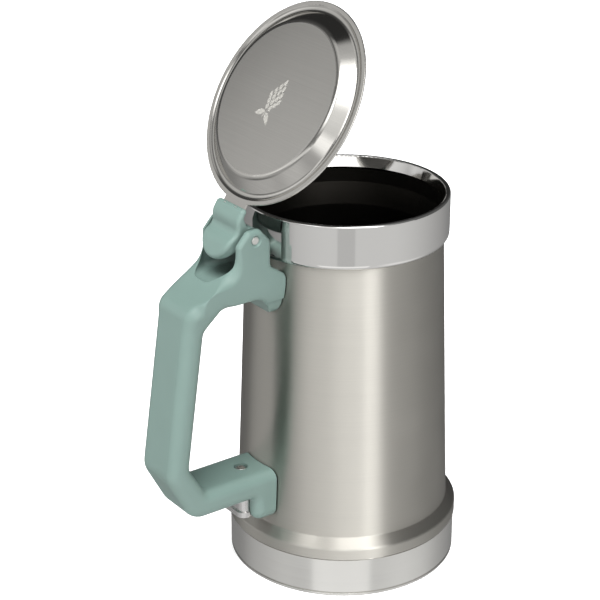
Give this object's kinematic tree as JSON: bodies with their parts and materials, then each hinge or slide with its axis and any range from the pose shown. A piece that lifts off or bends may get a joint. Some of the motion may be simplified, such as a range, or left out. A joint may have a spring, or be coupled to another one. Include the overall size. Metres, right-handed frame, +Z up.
{
  "type": "lidded insulated beer stein",
  "caption": "Double-walled steel stein with a tapered body, flared foot, mirror rim, moulded side handle and a pressed lid that a thumb lever swings open on a hinge pin.",
  "frame": {"origin": "centre of the base's resting ring, on the table", "axes": "+Z up along the vessel's axis; the handle points along -X; the hinge pin lies along Y"},
  "size_m": [0.1476, 0.101, 0.2493],
  "materials": {
    "brushed_shell": "brushed around",
    "polished_rim": "mirror polished",
    "dark_liner": "dark satin",
    "foil": "bright",
    "plain_steel": "as rolled",
    "braze": "as cast",
    "getter": "sintered",
    "satin_base": "satin polished",
    "satin_lid": "satin",
    "green_plastic": "fine moulded grain",
    "acetal": "smooth",
    "screw_steel": "turned"
  },
  "bodies": {
    "stein": {"outer_shell": "brushed_shell", "rim_collar": "polished_rim", "inner_liner": "dark_liner", "radiation_foil": "foil", "vacuum_end_plate": "plain_steel", "vacuum_seal_bead": "braze", "getter_dish": "plain_steel", "getter_pellet": "getter", "base_cup": "satin_base", "handle_body": "green_plastic", "upper_bracket": "plain_steel", "lower_bracket": "plain_steel", "upper_weld_nut": "plain_steel", "lower_weld_nut": "plain_steel", "upper_screw": "screw_steel", "lower_screw": "screw_steel", "hinge_pin": "screw_steel"},
    "lid": {"lid_plate": "satin_lid", "thumb_lever": "green_plastic", "hinge_bushes": "acetal", "hinge_washers": "acetal", "strap_rivets": "screw_steel"}
  },
  "joints": [
    {"name": "lid_hinge", "type": "hinge", "parent": "stein", "child": "lid", "pos_m": [-0.0548, 0, 0.162], "axis": [0, -1, 0], "range_deg": [-57.5, 30]}
  ]
}
